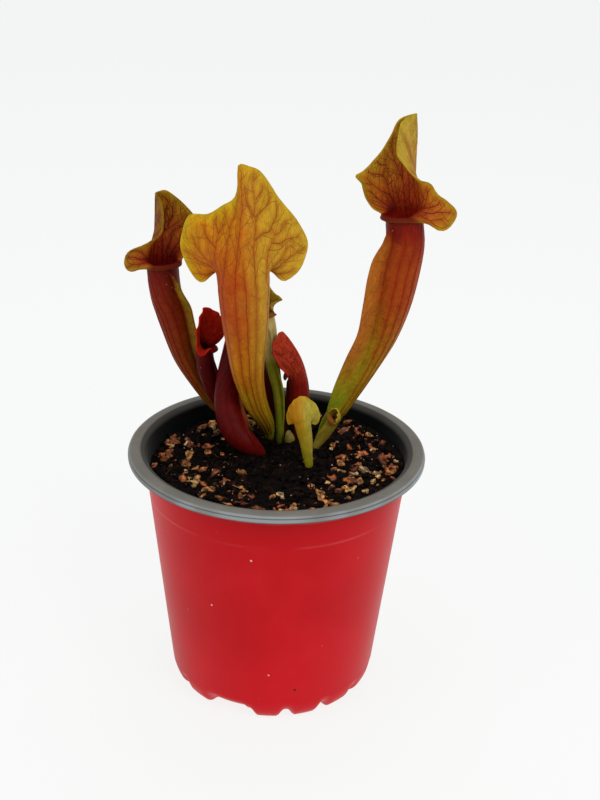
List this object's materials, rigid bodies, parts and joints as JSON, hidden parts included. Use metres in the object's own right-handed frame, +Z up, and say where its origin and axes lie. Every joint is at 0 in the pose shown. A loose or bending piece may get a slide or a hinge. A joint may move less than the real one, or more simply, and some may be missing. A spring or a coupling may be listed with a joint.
{
  "type": "potted pitcher plant",
  "caption": "Trumpet pitcher plant with hollow hooded leaves, growing in dark peat with bark chips in a round red nursery pot with a grey rim and a grooved base.",
  "frame": {"origin": "middle of the flat underside of the pot, on the surface that it stands on", "axes": "+Z up along the pot's axis; -Y is the side that the picture was taken from, +X to its right"},
  "size_m": [0.1294, 0.12, 0.2375],
  "materials": {
    "pot": "satin",
    "soil": "rough peat",
    "rhizome": "matt bark",
    "pitcher_right": "satin leaf",
    "pitcher_middle": "satin leaf",
    "pitcher_left": "satin leaf",
    "pitcher_dark_red": "satin leaf",
    "pitcher_back_red": "satin leaf",
    "pitcher_slender": "satin leaf",
    "pitcher_hidden_red": "satin leaf",
    "pitcher_red": "satin leaf",
    "pitcher_yellow": "satin leaf",
    "young_pitcher": "satin leaf"
  },
  "bodies": {
    "root": {"pot": "pot", "soil": "soil", "rhizome": "rhizome", "pitcher_right": "pitcher_right", "pitcher_middle": "pitcher_middle", "pitcher_left": "pitcher_left", "pitcher_dark_red": "pitcher_dark_red", "pitcher_back_red": "pitcher_back_red", "pitcher_slender": "pitcher_slender", "pitcher_hidden_red": "pitcher_hidden_red", "pitcher_red": "pitcher_red", "pitcher_yellow": "pitcher_yellow", "young_pitcher": "young_pitcher"}
  },
  "joints": []
}
